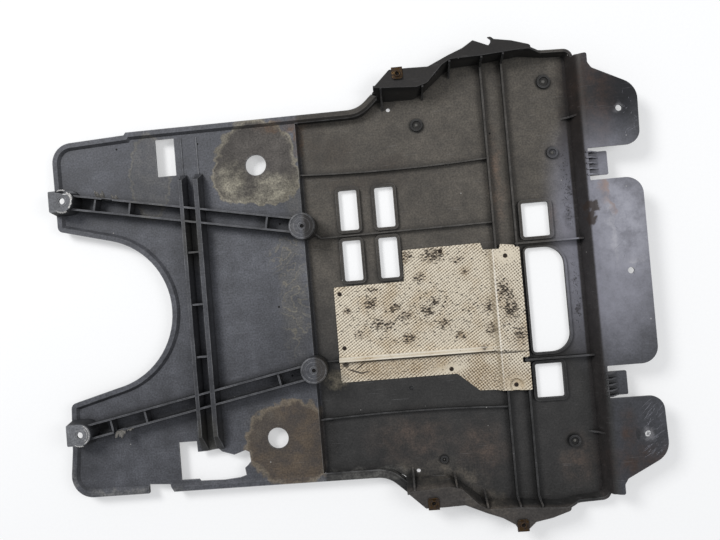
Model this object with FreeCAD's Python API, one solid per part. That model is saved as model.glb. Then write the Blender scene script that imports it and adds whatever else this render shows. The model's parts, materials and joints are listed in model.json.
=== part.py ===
import FreeCAD, Part
import math
import os

# Moulded engine undertray with a riveted aluminium heat shield, seen from its engine side.
# Millimetres. +X is the front of the car, +Z is up, the underside of the pan lies at zero height.
# Plan positions are measured from a datum on the long axis of the tray, near its middle.

# Heights above the underside of the pan
sheet = 3.0
deck_top = 15.0
rim_top = 19.0
flange_top = 36.0
arm_top = 35.0
cross_rib_top = 33.0
round_pad_top = 38.0
d_pad_top = 42.0
clip_top = 23.0
sunk = 1.0
tool_top = 60.0
tool_side = 400.0
tool_front = 150.0

# Rear deck
step_x = -75.0
step_draft = 3.0
deck_rear_x = -447.0
half_width = 271.0
rim_width = 7.0
lip_end_x = 50.0
bay_radius = 113.0
bay_centre_x = -394.7
bay_splay = 14.7
lifted_corner = 11.0
deck_hole_x = -138.5
deck_hole_y = 203.7
deck_hole_dia = 31.0
slot_x0 = -288.5
slot_x1 = -259.5
slot_y0 = 199.5
slot_y1 = 256.0

# Arms, pads and rear cross ribs
round_pad_x = -74.0
round_pad_y = 105.0
round_pad_dia = 38.5
round_pad_hole = 6.0
d_pad_x = -425.0
d_pad_y = 172.5
d_pad_width = 31.0
d_pad_back = 20.0
d_pad_flare = 3.5
d_pad_hole = 9.0
arm_spacing = 20.0
rib = 2.5
arm_cross_x = (-380.0, -328.0, -126.0)
rear_rib_x = (-248.7, -225.6)
rear_rib_width = (5.2, 6.6)
rear_rib_draft = 3.0
rear_rib_half = 199.0
rear_rib_ramp = 11.0
rear_rib_low = 215.0
rear_rib_run = 25.0
bead = 0.8
rear_cross_y = (-73.0, 4.0, 81.0)

# Pan
pan_axis = 2.4
pan_half_width = 259.5
rim_draft = 4.5
front_x = 329.0
front_draft = 9.0
front_bend = 10.0
front_half = 318.0
long_rib_y = 180.0
long_rib_bow = 4.0
long_rib = 2.0
long_rib_top = 9.5
inner_rib_y = 86.5
hidden_rib_y = -97.0
pan_rib_x = (204.5, 235.5)
pan_rib_half = (320.0, 323.0)
pan_rib_top = 13.0

# Windows in the pan floor
vent_x = (-6.5, 48.0)
vent_y = (49.5, 125.0)
vent_length = 27.5
vent_width = 60.0
collar = 4.5
collar_top = 7.0
front_group_y = -31.5
front_vent_x = 267.5
front_vent_length = 40.0
front_vent_width = 50.0
front_vent_offset = 118.5
big_vent_x0 = 247.0
big_vent_x1 = 303.0
big_vent_half = 77.0
big_vent_radius = 27.0
big_collar = 3.0
front_rib_offset = 85.0
front_rib_top = 15.0

# Drain holes, one blind hole, and floor bosses as x, y, diameter, rise
drain_x = 65.0
drain_y = 269.5
drain_dia = 6.0
blind_x = 64.5
blind_y = -146.5
blind_dia = 6.5
blind_floor = 0.8
boss_plan = ((105.0, 242.0, 18.0, 4.0), (296.0, 288.0, 19.0, 4.0), (300.0, 182.5, 16.0, 4.0),
             (295.0, -240.0, 17.0, 6.0), (104.0, -255.0, 11.0, 3.0))
boss_dish = 2.0
boss_wall = 2.5

# Tongues and clip tabs
tongue_axis = 1.2
tongue_x = 416.5
centre_tongue_x = 414.0
foot_x = 350.0
tongue_hole_x = 390.0
centre_hole_x = 387.0
tongue_hole_y = 231.0
tongue_hole = 9.0
clip_y = 158.0
clip_width = 34.0
clip_x = 372.0
clip_ribs = 5
clip_rib = 2.0

# Heat shield, rivets and spring nuts
shield_sheet = 0.8
shield_x0 = -38.5
shield_x1 = 239.5
shield_ramp_x0 = 187.0
shield_ramp_x1 = 199.0
ridge_width = 9.0
ridge_clearance = 0.6
lug_x = 82.0
lug_edge = 316.5
tip_x = 205.5
tip_edge = 355.0
rivet_head = 6.6
rivet_crown = 4.4
rivet_rise = 1.4
rivet_plan = ((-30.5, 1.0), (-30.0, -80.0), (124.0, 52.0), (126.0, -123.0))
raised_rivets = ((217.0, 37.4), (217.6, -152.0))
cup_radius = 11.0
cup_depth = 4.0
boss_dia = 12.0
nut_width = 16.0
nut_reach = 15.0
nut_sheet = 1.0
nut_collar_dia = 9.0
nut_collar_rise = 3.0
nut_hole = 5.5
nut_clearance = 1.5
nut_slack = 0.8


def flat(u, v, w):
    """A point from plan coordinates and a height."""
    return FreeCAD.Vector(u, v, w)


def side(u, v, w):
    """A point from a length-wise section: along, up, across."""
    return FreeCAD.Vector(u, w, v)


def cross(u, v, w):
    """A point from a cross section: across, up, along."""
    return FreeCAD.Vector(w, u, v)


def unit(a, b):
    length = math.hypot(b[0] - a[0], b[1] - a[1])
    return (b[0] - a[0]) / length, (b[1] - a[1]) / length


def path_edges(corners, level, place, closed):
    """Straight edges through (x, y, radius) corners, with each corner of some radius turned by an arc."""
    count = len(corners)
    ends = []
    arcs = []
    for i, (x, y, radius) in enumerate(corners):
        inner = closed or 0 < i < count - 1
        if not inner or radius <= 0:
            ends.append((place(x, y, level), place(x, y, level)))
            arcs.append(None)
            continue
        back = unit((x, y), corners[i - 1])
        ahead = unit((x, y), corners[(i + 1) % count])
        half = math.acos(max(-1.0, min(1.0, back[0] * ahead[0] + back[1] * ahead[1]))) / 2
        run = radius / math.tan(half)
        bisector = unit((0, 0), (back[0] + ahead[0], back[1] + ahead[1]))
        dip = radius / math.sin(half) - radius
        start = place(x + back[0] * run, y + back[1] * run, level)
        middle = place(x + bisector[0] * dip, y + bisector[1] * dip, level)
        end = place(x + ahead[0] * run, y + ahead[1] * run, level)
        ends.append((start, end))
        arcs.append(Part.Arc(start, middle, end).toShape())
    edges = []
    for i in range(count):
        if arcs[i]:
            edges.append(arcs[i])
        if i < count - 1 or closed:
            edges.append(Part.LineSegment(ends[i][1], ends[(i + 1) % count][0]).toShape())
    return edges


def outline(corners, level, place=flat):
    return Part.Wire(path_edges(corners, level, place, True))


def plate(corners, low, high):
    """A flat plate of the given plan between two heights."""
    face = Part.Face(outline(corners, low))
    return face.extrude(FreeCAD.Vector(0, 0, high - low))


def offset(corners, distance, closed):
    """The path moved to its left by a distance, with its round corners kept concentric."""
    count = len(corners)
    moved = []
    for i, (x, y, radius) in enumerate(corners):
        first = (i - 1) % count if closed or i > 0 else i
        last = (i + 1) % count if closed or i < count - 1 else i
        ahead = unit(corners[i], corners[last]) if last != i else unit(corners[first], corners[i])
        back = unit(corners[first], corners[i]) if first != i else ahead
        scale = distance / (1 + back[0] * ahead[0] + back[1] * ahead[1])
        turn = back[0] * ahead[1] - back[1] * ahead[0]
        grown = max(radius - math.copysign(distance, turn * distance), 0.3) if radius else 0
        moved.append((x - (back[1] + ahead[1]) * scale, y + (back[0] + ahead[0]) * scale, grown))
    return moved


def strip(path, thickness, level):
    """Closed outline of a wall standing along a path, with its thickness to the left."""
    far = offset(path, thickness, False)
    near_edges = path_edges(path, level, flat, False)
    far_edges = path_edges(far, level, flat, False)
    far_edges.reverse()
    first = Part.LineSegment(flat(*path[-1][:2], level), flat(*far[-1][:2], level)).toShape()
    last = Part.LineSegment(flat(*far[0][:2], level), flat(*path[0][:2], level)).toShape()
    return Part.Wire(near_edges + [first] + far_edges + [last])


def wall(low_path, high_path, low, high, thickness):
    """A drafted wall from one path up to another."""
    wires = [strip(low_path, thickness, low), strip(high_path, thickness, high)]
    return Part.makeLoft(wires, True, True)


def taper(low_corners, high_corners, low, high):
    """A solid drawn straight from one closed outline up to another."""
    return Part.makeLoft([outline(low_corners, low), outline(high_corners, high)], True, True)


def block(x0, x1, y0, y1, z0, z1):
    return Part.makeBox(x1 - x0, y1 - y0, z1 - z0, FreeCAD.Vector(x0, y0, z0))


def rectangle(x0, x1, y0, y1, radius):
    return [(x0, y0, radius), (x1, y0, radius), (x1, y1, radius), (x0, y1, radius)]


def straight_rib(a, b, low, high, thickness=rib):
    """An upright rib between two plan points."""
    along = unit(a, b)
    dx = -along[1] * thickness / 2
    dy = along[0] * thickness / 2
    corners = [(a[0] + dx, a[1] + dy, 0), (a[0] - dx, a[1] - dy, 0),
               (b[0] - dx, b[1] - dy, 0), (b[0] + dx, b[1] + dy, 0)]
    return plate(corners, low, high)


def post(x, y, dia, low, high):
    return Part.makeCylinder(dia / 2, high - low, FreeCAD.Vector(x, y, low))


def cone(x, y, low_dia, high_dia, low, high):
    return Part.makeCone(low_dia / 2, high_dia / 2, high - low, FreeCAD.Vector(x, y, low))


def mirrored(shape, axis):
    return shape.mirror(FreeCAD.Vector(0, axis, 0), FreeCAD.Vector(0, 1, 0))


def both_sides(shape, axis=0.0):
    return [shape, mirrored(shape, axis)]


# Rear deck

def tray_rim():
    """Outer edge of the deck and of the pan beside it, out to the side ears."""
    apex_x = bay_centre_x + bay_radius / math.sin(math.radians(bay_splay))
    splay_y = (apex_x - deck_rear_x) * math.tan(math.radians(bay_splay))
    return [(120.0, half_width + 92.0, 0), (20.0, half_width, 40),
            (-331.0, half_width - 0.5, 0), (-334.0, half_width - 4.5, 0), (deck_rear_x, half_width - 9.5, 30),
            (deck_rear_x + 1.0, splay_y, 9), (apex_x, 0.0, bay_radius), (deck_rear_x + 1.0, -splay_y, 9),
            (deck_rear_x - 2.5, -200.0, 0), (deck_rear_x - lifted_corner, -half_width, 32),
            (20.0, -half_width, 40), (120.0, -half_width - 92.0, 0)]


def rear_deck():
    rim = tray_rim()
    inner = offset(rim, rim_width, True)
    foot = offset(rim, rim_width + rim_top - deck_top, True)
    ahead = block(step_x, tool_front, -tool_side, tool_side, 0, tool_top)
    deck = plate(rim, deck_top - sheet, deck_top).cut(ahead)
    band = plate(rim, deck_top - sheet, rim_top)
    hollow = taper(foot, inner, deck_top, rim_top)
    below = plate(inner, deck_top - sheet, deck_top)
    lip = band.cut([hollow, below]).cut(block(lip_end_x, tool_front, -tool_side, tool_side, 0, tool_top))
    slope = plate(inner, deck_top, rim_top).cut(hollow).cut(ahead)
    return [deck, lip, slope]


def step_wall():
    low = [(step_x + step_draft, -pan_half_width - 2, 0), (step_x + step_draft, pan_half_width + 2, 0)]
    high = [(step_x, -pan_half_width - 2, 0), (step_x, pan_half_width + 2, 0)]
    return wall(low, high, 0, deck_top, sheet)


def arm():
    """Twin ribs from a rear pad to a round pad, tied by short cross ribs."""
    a = (d_pad_x, d_pad_y)
    b = (round_pad_x, round_pad_y)
    along = unit(a, b)
    pieces = []
    for shift in (-arm_spacing / 2, arm_spacing / 2):
        dx = -along[1] * shift
        dy = along[0] * shift
        pieces.append(straight_rib((a[0] + dx, a[1] + dy), (b[0] + dx, b[1] + dy), deck_top - sunk, arm_top))
    for x in arm_cross_x:
        middle = (x, a[1] + (x - a[0]) * along[1] / along[0])
        reach = arm_spacing / 2
        ends = [(middle[0] - along[1] * s, middle[1] + along[0] * s) for s in (-reach, reach)]
        pieces.append(straight_rib(ends[0], ends[1], deck_top - sunk, cross_rib_top))
    return pieces


def round_pad():
    return post(round_pad_x, round_pad_y, round_pad_dia, 0, round_pad_top)


def round_pad_core():
    core = post(round_pad_x, round_pad_y, round_pad_dia - 2 * sheet, -sunk, round_pad_top - sheet)
    hole = post(round_pad_x, round_pad_y, round_pad_hole, 0, tool_top)
    return [core, hole]


def d_plan(grow):
    """Plan of a rear pad: flat at the back, round at the front, grown by an allowance."""
    half = d_pad_width / 2 + grow
    back = d_pad_x - d_pad_back - grow
    front = d_pad_x + half
    return [(back, d_pad_y - half, 2.0), (front, d_pad_y - half, half - 0.1),
            (front, d_pad_y + half, half - 0.1), (back, d_pad_y + half, 2.0)]


def d_pad():
    return taper(d_plan(d_pad_flare), d_plan(0), deck_top - sheet, d_pad_top)


def d_pad_core():
    core = taper(d_plan(d_pad_flare - sheet), d_plan(-sheet), deck_top - sheet - sunk, d_pad_top - sheet)
    hole = post(d_pad_x, d_pad_y, d_pad_hole, 0, d_pad_top + 1)
    return [core, hole]


def rear_ribs():
    """Twin drafted cross ribs with ramped ends, a short ramp on the left and a long one on the right,
    tied by short ribs and carried on by a low bead beside the slot."""
    pieces = []
    for x, width in zip(rear_rib_x, rear_rib_width):
        low = width / 2 + rear_rib_draft
        foot = rectangle(x - low, x + low, -rear_rib_low, rear_rib_half, 0)
        crest = rectangle(x - width / 2, x + width / 2, rear_rib_run - rear_rib_low,
                          rear_rib_half - rear_rib_ramp, 0)
        pieces.append(taper(foot, crest, deck_top - sunk, arm_top))
        pieces.append(straight_rib((x, rear_rib_half - 2 * sunk), (x, slot_y1 - 2 * sunk), deck_top - sunk,
                                   deck_top + bead, 2 * bead))
    for y in rear_cross_y:
        pieces.append(straight_rib((rear_rib_x[0], y), (rear_rib_x[1], y), deck_top - sunk, cross_rib_top))
    return pieces


# Pan

def floor_half():
    """Edge of the pan floor on one side, from the step to the front wall."""
    beside_ear = [(x, y + pan_axis, r) for x, y, r in ear_foot_line()[1:-1] + corner_foot_line()[1::-1]]
    return [(step_x + step_draft, pan_half_width, 0), (24.0, pan_half_width, 35),
            (47.0, pan_axis + ear_foot_line()[0][1], 5)] + beside_ear


def pan_floor():
    upper = floor_half()
    lower = [(x, 2 * pan_axis - y if x > 30 else -y, r) for x, y, r in upper]
    loop = lower + upper[::-1]
    return plate(offset(loop, -sheet / 2, True), 0, sheet)


def rim_wall():
    low = [(step_x + step_draft, pan_half_width, 0), (24.0, pan_half_width, 35),
           (50.0, pan_half_width + 23.0, 0)]
    high = [(step_x, pan_half_width + rim_draft, 0), (21.5, pan_half_width + rim_draft, 37),
            (47.0, pan_half_width + 23.0 + rim_draft, 0)]
    return wall(low, high, 0, rim_top, sheet)


def ear_foot_line():
    """Foot of the ear wall beside the pan floor, measured from the pan's axis."""
    return [(45.5, 278.0, 0), (104.0, 278.0, 14), (121.0, 288.0, 10), (152.0, 313.0, 10), (163.0, 319.0, 8),
            (203.0, 321.3, 40), (265.0, 327.0, 30), (294.0, 321.7, 0)]


def corner_foot_line():
    return [(front_x, front_half + 2.0, 10), (295.0, front_half + 3.5, 20), (262.0, 326.6, 0)]


def ear_top_line():
    return [(45.5, 292.5, 0), (108.0, 288.0, 14), (124.0, 292.5, 10), (147.0, 316.5, 10), (159.0, 323.3, 8),
            (203.0, 323.9, 40), (262.0, 327.5, 30), (292.0, 325.5, 0)]


def ear_wall():
    return wall(ear_foot_line(), ear_top_line(), 0, flange_top, sheet)


def ear_flange():
    """Flat flange on top of the ear wall, with the two lugs that carry spring nuts."""
    outer = [(278.0, 327.0, 0), (274.5, 332.5, 0), (248.0, 341.0, 0), (224.0, 345.5, 0), (213.0, tip_edge, 2),
             (199.0, tip_edge, 2), (194.5, 347.3, 0), (178.0, 337.0, 30), (157.0, 329.0, 30),
             (126.7, lug_edge - 1.0, 8), (97.0, lug_edge, 0), (70.5, lug_edge, 3), (45.5, 292.5, 0)]
    inner = ear_top_line()[1:-1]
    return plate(outer + inner, flange_top - sheet, flange_top)


def ear_ramp():
    """Space above the ramp where the ear runs down to the rim at its front end."""
    profile = [(272.0, flange_top, 0), (292.0, rim_top, 0), (300.0, rim_top, 0), (300.0, tool_top, 0),
               (272.0, tool_top, 0)]
    face = Part.Face(outline(profile, 0.0, side))
    return face.extrude(FreeCAD.Vector(0, tool_side, 0))


def gusset(x, inner_y, outer_y):
    """A thin three-cornered rib across the pan against a side wall."""
    corners = [(inner_y, sheet - sunk, 0), (outer_y, sheet - sunk, 0), (outer_y, flange_top - 1, 0),
               (outer_y - 3.0, flange_top - 1, 0)]
    face = Part.Face(outline(corners, x - rib / 2, cross))
    return face.extrude(FreeCAD.Vector(rib, 0, 0))


def side_ear():
    ramp = ear_ramp()
    pieces = [ear_wall().cut(ramp), ear_flange().cut(ramp)]
    pieces += [gusset(x, inner, outer) for x, inner, outer in
               ((56.5, 265.0, 293.5), (117.0, 276.0, 290.5), (158.5, 304.0, 323.0),
                (pan_rib_x[0], 311.0, 324.0), (pan_rib_x[1], 313.0, 326.0))]
    return pieces


def corner_wall():
    share = rim_top / flange_top
    front_top = front_x + front_draft * share
    low = [(front_x, front_half - 22.0, 0)] + corner_foot_line()
    high = [(front_top, front_half - 22.0, 0), (front_top, front_half + 4.5, 10),
            (294.0, front_half + 6.0, 20), (262.0, 328.0, 0)]
    return wall(low, high, 0, rim_top, -sheet - 1)


def front_plan():
    """Plan of the front wall's flange with its three tongues and the gaps beside the clip tabs."""
    gap0 = clip_y - clip_width / 2 - 9.0
    gap1 = clip_y + clip_width / 2 + 3.0
    half = [(front_x - 3.0, front_half, 0), (340.0, front_half - 4.5, 3), (352.0, front_half - 3.5, 3),
            (352.0, 300.0, 4), (357.0, 292.0, 6), (tongue_x + 1.0, 261.0, 30), (tongue_x - 1.0, gap1, 20),
            (foot_x - 8.0, gap1, 0), (foot_x - 8.0, gap0, 1.5), (centre_tongue_x, gap0, 24)]
    return half + [(x, -y, r) for x, y, r in reversed(half)]


def front_wall():
    """Front wall bent over into the flange and tongues, all one sheet."""
    top_x = front_x + front_draft
    end_x = tongue_x + 20.0
    inner = [(front_x, 0.0, 0), (top_x, flange_top, front_bend), (end_x, flange_top, 0)]
    profile = inner + offset(inner, -sheet, False)[::-1]
    face = Part.Face(outline(profile, -front_half - 20, side))
    sheet_metal = face.extrude(FreeCAD.Vector(0, 2 * front_half + 40, 0))
    plan = plate([(x, y + tongue_axis, r) for x, y, r in front_plan()], 0, flange_top + 1)
    return sheet_metal.common(plan)


def clip_tab():
    """Low tab in the gap between two tongues, held by a row of gussets."""
    root = front_x + front_draft - 2.0
    y0 = clip_y - clip_width / 2
    y1 = y0 + clip_width
    tab = [(root, y0, 0), (clip_x, y0, 2), (clip_x, y1, 2), (root, y1, 0)]
    pieces = [plate(tab, clip_top - sheet, clip_top)]
    for i in range(clip_ribs):
        y = y0 + clip_rib / 2 + i * (clip_width - clip_rib) / (clip_ribs - 1)
        corners = [(root, clip_top - sheet, 0), (foot_x + 9.0, clip_top - sheet, 0),
                   (foot_x + 9.0, clip_top, 0), (foot_x - 4.0, flange_top, 0), (root + 3.0, flange_top, 0)]
        face = Part.Face(outline(corners, y - clip_rib / 2, side))
        pieces.append(face.extrude(FreeCAD.Vector(0, clip_rib, 0)))
    return pieces


def bowed_rib(x0, x1, y, bow, high):
    """A long low rib that bows a little towards the middle of the tray."""
    middle = (x0 + x1) / 2
    near = Part.Arc(flat(x0, y, 0), flat(middle, y - bow, 0), flat(x1, y, 0)).toShape()
    outer = y + long_rib
    far = Part.Arc(flat(x0, outer, 0), flat(middle, outer - bow, 0), flat(x1, outer, 0)).toShape()
    first = Part.LineSegment(flat(x1, y, 0), flat(x1, outer, 0)).toShape()
    last = Part.LineSegment(flat(x0, outer, 0), flat(x0, y, 0)).toShape()
    face = Part.Face(Part.Wire([near, first, far, last]))
    rib_solid = face.extrude(FreeCAD.Vector(0, 0, high - sheet + sunk))
    rib_solid.translate(FreeCAD.Vector(0, 0, sheet - sunk))
    return rib_solid


def pan_ribs():
    pieces = both_sides(bowed_rib(step_x, pan_rib_x[0], long_rib_y + long_rib, long_rib_bow, long_rib_top))
    pieces.append(straight_rib((round_pad_x + 14.0, inner_rib_y + 8.0), (round_pad_x + 24.0, inner_rib_y),
                               sheet - sunk, long_rib_top, long_rib))
    pieces.append(straight_rib((round_pad_x + 23.5, inner_rib_y), (pan_rib_x[0], inner_rib_y + 2.0),
                               sheet - sunk, long_rib_top, long_rib))
    pieces.append(straight_rib((round_pad_x + 10.0, hidden_rib_y), (shield_ramp_x0 - 1.0, hidden_rib_y),
                               sheet - sunk, long_rib_top, long_rib))
    for x, half in zip(pan_rib_x, pan_rib_half):
        pieces.append(straight_rib((x, pan_axis - half), (x, pan_axis + half), sheet - sunk, pan_rib_top))
    for y in (front_group_y + front_rib_offset, front_group_y - front_rib_offset):
        pieces.append(straight_rib((pan_rib_x[1] - 3.0, y), (front_x + 3.0, y), sheet - sunk, front_rib_top))
    return pieces


def front_gussets():
    top_x = front_x + front_draft * 0.7
    corners = [(front_x - 14.0, sheet - sunk, 0), (front_x + 1.0, sheet - sunk, 0),
               (top_x + 1.0, flange_top * 0.7, 0), (front_x - 2.0, 12.0, 0)]
    face = Part.Face(outline(corners, tongue_hole_y - rib / 2, side))
    return both_sides(face.extrude(FreeCAD.Vector(0, rib, 0)), tongue_axis)


def vents():
    """Centre and size of each rectangular window in the pan floor."""
    places = [(x, y, vent_length, vent_width) for x in vent_x for y in vent_y]
    for shift in (-front_vent_offset, front_vent_offset):
        places.append((front_vent_x, front_group_y + shift, front_vent_length, front_vent_width))
    return places


def vent_plan(place, grow):
    x, y, length, width = place
    return rectangle(x - length / 2 - grow, x + length / 2 + grow, y - width / 2 - grow, y + width / 2 + grow,
                     3.0 + grow)


def big_vent_plan(grow):
    x0 = big_vent_x0 - grow
    x1 = big_vent_x1 + grow
    y0 = front_group_y - big_vent_half - grow
    y1 = front_group_y + big_vent_half + grow
    tight = 6.0 + grow
    wide = big_vent_radius + grow
    return [(x0, y0, tight), (x1, y0, wide), (x1, y1, wide), (x0, y1, tight)]


def vent_collars():
    pieces = [plate(vent_plan(place, collar), sheet - sunk, collar_top) for place in vents()]
    pieces.append(plate(big_vent_plan(big_collar), sheet - sunk, collar_top))
    return pieces


def vent_cuts():
    cuts = [plate(vent_plan(place, 0), -1, collar_top + 1) for place in vents()]
    cuts.append(plate(big_vent_plan(0), -1, collar_top + 1))
    return cuts


def boss(x, y, dia, high):
    """A round boss with a dished top."""
    ring = post(x, y, dia, sheet - sunk, high)
    dish = post(x, y, dia - 2 * boss_wall, high - boss_dish, high)
    return ring.cut(dish)


def bosses():
    pieces = [boss(x, y, dia, sheet + rise) for x, y, dia, rise in boss_plan]
    first, second = raised_rivets
    pieces.append(post(first[0], first[1], boss_dia, sheet - sunk, pan_rib_top))
    pieces.append(post(second[0], second[1], boss_dia, sheet - sunk, pan_rib_top - cup_depth))
    return pieces


def small_holes():
    cuts = both_sides(post(drain_x, drain_y, drain_dia, -sunk, tool_top))
    cuts.append(post(blind_x, blind_y, blind_dia, blind_floor, long_rib_top))
    return cuts


def tongue_holes():
    cuts = []
    for x, y in ((tongue_hole_x, tongue_hole_y), (tongue_hole_x, -tongue_hole_y), (centre_hole_x, 0.0)):
        cuts.append(post(x, y + tongue_axis, tongue_hole, flange_top - 2 * sheet, tool_top))
    return cuts


# Broken places

def torn_slot():
    """Torn hole where the lower slot has broken out towards the round hole."""
    return [(slot_x0, -slot_y0, 0), (slot_x0, -slot_y1, 0), (-262.0, -slot_y1, 0), (-260.0, -259.0, 0),
            (-224.0, -260.0, 0), (-200.0, -258.0, 0), (-190.0, -255.0, 0), (-191.5, -244.0, 0),
            (-187.5, -241.0, 0), (-182.0, -235.0, 0), (-183.0, -221.0, 0), (-189.0, -218.0, 0),
            (-206.0, -223.5, 0), (-224.0, -217.5, 0), (-229.0, -212.5, 0), (-245.0, -215.0, 0),
            (-260.5, -215.5, 0), (slot_x1 - 1.5, -slot_y0, 0)]


def breaks():
    """What has been torn away from the moulding."""
    slot = rectangle(slot_x0, slot_x1, slot_y0, slot_y1, 0)
    edge = [(-338.0, -300.0, 0), (-338.0, -258.5, 0), (-306.0, -260.5, 0), (-299.0, -272.0, 0),
            (-299.0, -300.0, 0)]
    slit = [(-304.5, 300.0, 0), (-303.0, 265.0, 0), (-301.5, 300.0, 0)]
    lug = [(194.0, 380.0, 0), (194.0, pan_axis + 346.6, 0), (215.5, pan_axis + 337.2, 0),
           (218.7, pan_axis + 341.0, 0), (219.3, pan_axis + 345.0, 0), (215.0, pan_axis + 349.0, 0),
           (219.0, pan_axis + 349.3, 0), (227.0, pan_axis + 345.0, 0), (227.0, 380.0, 0)]
    crack = [(41.0, pan_axis + 291.0, 0), (43.0, pan_axis + 286.5, 0), (50.0, pan_axis + 284.5, 0),
             (50.0, pan_axis + 287.0, 0)]
    pad = [(d_pad_x + dx, d_pad_y + dy, 0) for dx, dy in
           ((-10.0, 30.0), (-9.0, 13.5), (-2.0, 12.0), (3.0, 9.5), (9.0, 9.0), (13.0, 14.0), (14.0, 30.0))]
    gap = [(-368.0, 172.0, 0), (-352.0, 169.0, 0), (-353.5, 160.5, 0), (-369.0, 163.0, 0)]
    chip = [(-378.0, -168.0, 0), (-364.0, -164.0, 0), (-362.0, -172.0, 0), (-377.0, -178.0, 0)]
    through = [plate(loop, 0, tool_top) for loop in (slot, torn_slot(), edge, slit, lug)]
    partial = [plate(loop, low, tool_top) for loop, low in
               ((crack, rim_top - 5), (pad, deck_top + 4), (gap, arm_top - 11), (chip, arm_top - 10))]
    return through + partial


def nut_places():
    """Lug centre and edge of each spring nut, with the side of the tray it sits on."""
    return [(lug_x, pan_axis + lug_edge, 1), (lug_x, pan_axis - lug_edge, -1),
            (tip_x, pan_axis - tip_edge, -1)]


def nut_bore(x, edge, way, dia):
    return post(x, edge - way * nut_reach / 2, dia, flange_top - 3 * sheet, flange_top + 3 * sheet)


def rivet_places():
    """Each rivet with the height that its head rests on."""
    places = [(x, y, sheet + shield_sheet) for x, y in rivet_plan]
    first, second = raised_rivets
    places.append((first[0], first[1], pan_rib_top + shield_sheet))
    places.append((second[0], second[1], pan_rib_top + shield_sheet - cup_depth))
    return places


def undertray():
    body = []
    body += rear_deck()
    body.append(step_wall())
    body += both_sides(rim_wall())
    for piece in [round_pad(), d_pad()] + arm():
        body += both_sides(piece)
    body += rear_ribs()
    body.append(pan_floor())
    for piece in side_ear() + [corner_wall()]:
        moved = piece.copy()
        moved.translate(FreeCAD.Vector(0, pan_axis, 0))
        body += both_sides(moved, pan_axis)
    body.append(front_wall())
    for piece in clip_tab():
        body += both_sides(piece)
    body += pan_ribs() + front_gussets() + vent_collars() + bosses()
    whole = body[0].multiFuse(body[1:])
    cuts = vent_cuts() + small_holes() + tongue_holes() + breaks()
    for core in round_pad_core() + d_pad_core():
        cuts += both_sides(core)
    cuts += both_sides(post(deck_hole_x, deck_hole_y, deck_hole_dia, 0, tool_top))
    cuts += [nut_bore(x, edge, way, nut_hole + nut_clearance) for x, edge, way in nut_places()]
    return whole.cut(cuts).removeSplitter()


# Heat shield

def shield_plan():
    rib_y = front_group_y - front_rib_offset
    return [(shield_x0, -131.0, 2), (134.0, -130.5, 2), (165.0, -157.5, 2), (shield_x1, -160.5, 2),
            (shield_x1, rib_y - 3.5, 1), (shield_x1 - 10.0, rib_y - 3.5, 1),
            (shield_x1 - 10.0, rib_y + 4.0, 1), (shield_x1, rib_y + 4.0, 1), (shield_x1 - 1.0, 49.0, 1),
            (232.0, 49.0, 1), (231.5, 52.0, 1), (211.0, 55.0, 1), (209.0, 48.0, 1), (187.0, 49.0, 1),
            (184.0, 59.5, 2), (68.0, 58.5, 1), (67.0, 12.0, 0), (shield_x0, 11.5, 2)]


def shield_section(low, high):
    """Section of the sheet along the tray: flat, ramped up, flat on the cross ribs."""
    x0 = shield_x0 - 10.0
    x1 = shield_x1 + 10.0
    return [(x0, sheet + low, 0), (shield_ramp_x0, sheet + low, 0), (shield_ramp_x1, pan_rib_top + low, 0),
            (x1, pan_rib_top + low, 0), (x1, pan_rib_top + high, 0), (shield_ramp_x1, pan_rib_top + high, 0),
            (shield_ramp_x0, sheet + high, 0), (x0, sheet + high, 0)]


def ridge(grow):
    """Solid under the raised ridge that clears the hidden rib, grown by the sheet for its outside."""
    half = ridge_width / 2 - shield_sheet + grow
    top = long_rib_top + ridge_clearance + grow
    corners = [(hidden_rib_y - half, sheet, 0), (hidden_rib_y + half, sheet, 0),
               (hidden_rib_y + half - 1.5, top, 0), (hidden_rib_y - half + 1.5, top, 0)]
    face = Part.Face(outline(corners, shield_x0, cross))
    return face.extrude(FreeCAD.Vector(shield_ramp_x1 - 3.0 - shield_x0, 0, 0))


def pressed_cup():
    """Shallow cup that brings the sheet down to a low boss."""
    x, y = raised_rivets[1]
    top = pan_rib_top + shield_sheet
    outer = cone(x, y, 2 * cup_radius - 5.0, 2 * cup_radius, top - cup_depth - shield_sheet, top)
    inner = cone(x, y, 2 * cup_radius - 5.0 - 2 * shield_sheet, 2 * cup_radius - 2 * shield_sheet,
                 top - cup_depth, top)
    return outer, inner


def heat_shield():
    face = Part.Face(outline(shield_section(0.0, shield_sheet), -tool_side, side))
    sheet_metal = face.extrude(FreeCAD.Vector(0, 2 * tool_side, 0))
    plan = plate(shield_plan(), 0, tool_top)
    outer, inner = pressed_cup()
    pressed = sheet_metal.fuse([ridge(shield_sheet), outer]).cut([ridge(0.0), inner]).common(plan)
    return pressed.removeSplitter()


def rivet(x, y, seat):
    """Low head of a blind rivet, resting on the sheet."""
    return cone(x, y, rivet_head, rivet_crown, seat, seat + rivet_rise)


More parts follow.
